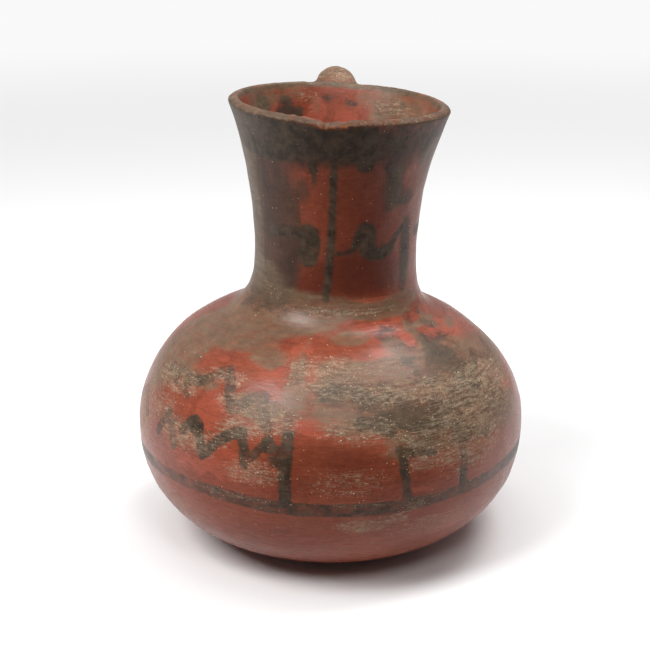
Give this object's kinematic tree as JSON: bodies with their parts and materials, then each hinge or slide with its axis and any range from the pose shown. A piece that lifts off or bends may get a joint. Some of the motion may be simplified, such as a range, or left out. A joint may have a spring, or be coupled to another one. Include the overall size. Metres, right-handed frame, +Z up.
{
  "type": "earthenware jug",
  "caption": "Squat round-bellied earthenware jug with a flaring neck, a worn lip and a strap handle, for holding and pouring liquid, with worn black painting on burnished red slip.",
  "frame": {"origin": "middle of the flat base, on the surface that the jug stands on", "axes": "+Z up the jug, +Y from its middle towards the handle, -Y towards the front with the chipped lip"},
  "size_m": [0.1613, 0.1614, 0.189],
  "materials": {
    "fired_clay": "burnished red slip with worn black paint, clouded by firing and dusty"
  },
  "bodies": {
    "root": {"jug": "fired_clay"}
  },
  "joints": []
}
